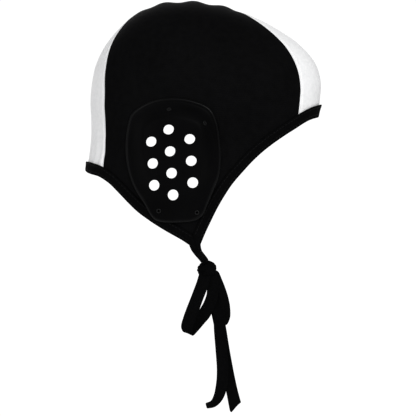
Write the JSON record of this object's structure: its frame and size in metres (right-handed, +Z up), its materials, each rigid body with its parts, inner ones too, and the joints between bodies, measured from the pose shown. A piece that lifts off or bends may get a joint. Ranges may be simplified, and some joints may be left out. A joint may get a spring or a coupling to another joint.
{
  "type": "water polo cap",
  "caption": "Close-fitting black cloth cap with pale tapering forehead and nape panels, taped edges, pierced domed ear guards and chin ties joined in a bow.",
  "frame": {"origin": "the inside of the crown, on the middle line above the ears, where the cap sits on the top of the head", "axes": "+X towards the forehead, -Y towards the wearer's right ear, +Z up through the crown"},
  "size_m": [0.2023, 0.1872, 0.3536],
  "materials": {
    "dark_cloth": "matte stretch knit",
    "pale_cloth": "matte stretch knit",
    "tape": "matte woven tape",
    "guard_plastic": "satin moulded plastic"
  },
  "bodies": {
    "root": {"side_panel_right": "dark_cloth", "side_panel_left": "dark_cloth", "front_panel": "pale_cloth", "back_panel": "pale_cloth", "front_binding": "tape", "back_binding": "tape", "ear_guard_right": "guard_plastic", "ear_guard_left": "guard_plastic", "eyelet_crown_right": "guard_plastic", "eyelet_crown_left": "guard_plastic", "eyelet_brow_right": "guard_plastic", "eyelet_brow_left": "guard_plastic", "eyelet_nape_right": "guard_plastic", "eyelet_nape_left": "guard_plastic", "eyelet_cheek_right": "guard_plastic", "eyelet_cheek_left": "guard_plastic", "tie_right": "tape", "tie_left": "tape", "bow_knot": "tape", "bow_loop_rear": "tape", "bow_loop_front": "tape", "tie_end_rear": "tape", "tie_end_front": "tape"}
  },
  "joints": []
}
